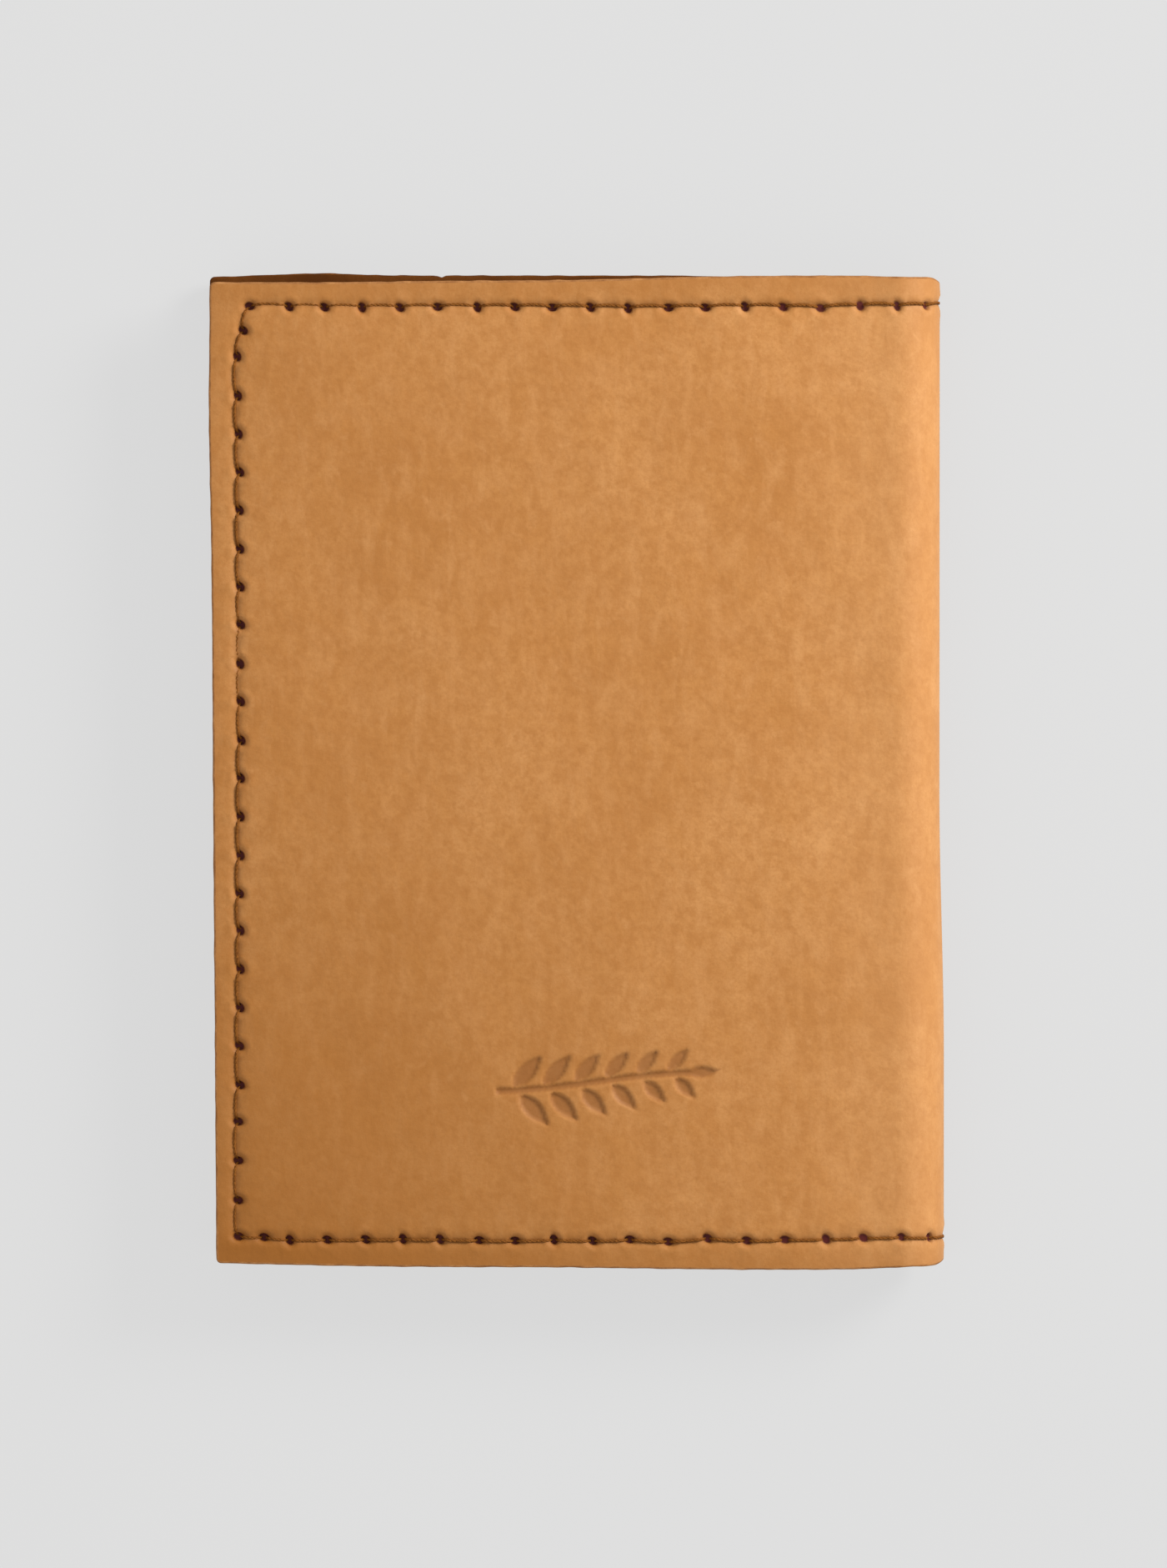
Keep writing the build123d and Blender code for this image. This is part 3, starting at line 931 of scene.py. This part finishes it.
def build_pocket(half, kind, base, rise, reach):
    holes = [h for h in HOLES if h[0] < reach - 0.3]

    def back(s, v):
        return base + pocket_rise(s, v, rise)

    def face(s, v):
        return back(s, v) + POCKET - narrow_sewing(s, v, holes) - 0.03 * wave_noise(s, v, 17, 41)

    ramp = ramp_points(reach)
    mouth = np.array([(reach - 0.45, v) for v in np.arange(-HALF_HEIGHT + 1, HALF_HEIGHT - 1, 0.8)])
    face_points = with_base(np.concatenate([sewn_inner, ramp, mouth]), 0.6)
    back_points = np.concatenate([ramp, thin_out(coarse_grid, ramp, 1.0)])
    panel, flat = leather_mesh(
        f"{half}_{kind}_pocket_leather", inner_edges, reach, False, face, back, half == "rear",
        face_points, back_points, False,
    )
    mark_holes(panel, flat, holes, NARROW_HOLE)
    dress(panel, brown, brown_flesh, brown_edge)
    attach(panel, f"{half}_half")
    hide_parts(f"{half}_{kind}_pocket", f"{half}_{kind}_pocket_edge")
    return panel


def groove_floor(s, v):
    """Where the needle thread lies: on the cover, in the groove that it presses."""
    return cover_sink(s, v, False, pit=0)


def inner_level(s, v):
    """Where the bobbin thread lies: on the innermost layer there is."""
    return LINED + POCKET * (s < DEEP_REACH) + POCKET * (s < SHALLOW_REACH) + 0 * v


def finish_thread(thread, half, material, part):
    dress(thread, material)
    bend(thread)
    replace(half, part)


def build_threads(half):
    rear = half == "rear"
    needle = thread_object(
        f"{half}_needle_stitches", HOLES, rear, groove_floor, radius=0.15, dive=0.42, bow_share=1.0, outward=1
    )
    finish_thread(needle, half, tan_thread, "needle_thread")
    bobbin = thread_object(
        f"{half}_bobbin_stitches", HOLES, rear, inner_level, radius=0.17, dive=0.5, bow_share=0.3, outward=-1
    )
    finish_thread(bobbin, half, brown_thread, "bobbin_thread")


def build_half(half):
    cover = build_cover(half)
    lining = build_lining(half)
    deep = build_pocket(half, "deep", LINED, DEEP_RISE, DEEP_REACH)
    build_pocket(half, "shallow", LINED + POCKET, SHALLOW_RISE, SHALLOW_REACH)
    build_threads(half)


build_half("rear")
build_half("front")


# ---- floor, light and camera ----
FLOOR_GLOW = 0.645
ROOM_LIGHT = 0.73


def make_floor():
    """A pale floor that is mostly self-lit, so that it keeps hardly any shadow."""
    size = 3.0
    mesh = bpy.data.meshes.new("floor")
    corners = [(-size, -size, 0), (size, -size, 0), (size, size, 0), (-size, size, 0)]
    mesh.from_pydata(corners, [], [(0, 1, 2, 3)])
    floor = bpy.data.objects.new("floor", mesh)
    bpy.context.scene.collection.objects.link(floor)
    n = Nodes("pale_floor")
    n.shader.inputs["Base Color"].default_value = (0.07, 0.07, 0.07, 1)
    n.shader.inputs["Roughness"].default_value = 0.9
    n.shader.inputs["Specular IOR Level"].default_value = 0.0
    n.shader.inputs["Emission Color"].default_value = (1, 1, 1, 1)
    n.shader.inputs["Emission Strength"].default_value = FLOOR_GLOW
    dress(floor, n.material)


def add_area(name, place_at, size, power, colour=(1, 1, 1)):
    """A round soft lamp that shines on the middle of the holder."""
    lamp = bpy.data.lights.new(name, "AREA")
    lamp.shape = "DISK"
    lamp.size = size
    lamp.energy = power
    lamp.color = colour
    obj = bpy.data.objects.new(name, lamp)
    obj.location = place_at
    obj.rotation_euler = (-Vector(place_at)).to_track_quat("-Z", "Y").to_euler()
    bpy.context.scene.collection.objects.link(obj)


make_floor()
world = bpy.data.worlds.new("soft_room")
world.use_nodes = True
world.node_tree.nodes["Background"].inputs[0].default_value = (1.0, 1.0, 1.0, 1)
world.node_tree.nodes["Background"].inputs[1].default_value = ROOM_LIGHT
bpy.context.scene.world = world
add_area("key", (0.50, 0.33, 0.36), size=0.30, power=6.2, colour=(1.0, 0.985, 0.96))
add_area("fill", (-0.8, -0.3, 1.1), size=0.9, power=1.5)
bpy.context.scene.view_settings.view_transform = "Standard"

SENSOR_WIDTH = 36.0
SEEN_HEIGHT = 0.15256
VIEW_CENTRE = (0.73, -1.16)
DISTANCE = 1.5
TILT = math.radians(1.6)

camera_data = bpy.data.cameras.new("camera")
camera = bpy.data.objects.new("camera", camera_data)
bpy.context.scene.collection.objects.link(camera)
camera_data.sensor_width = SENSOR_WIDTH
camera_data.lens = SENSOR_WIDTH * DISTANCE / SEEN_HEIGHT
aim = Vector((VIEW_CENTRE[0] * MM, VIEW_CENTRE[1] * MM, THICKNESS * MM))
camera.location = aim + Vector((0, math.sin(TILT), math.cos(TILT))) * DISTANCE
camera.rotation_euler = (-TILT, 0, 0)
camera_data.clip_start, camera_data.clip_end = 0.05, 20
bpy.context.scene.camera = camera
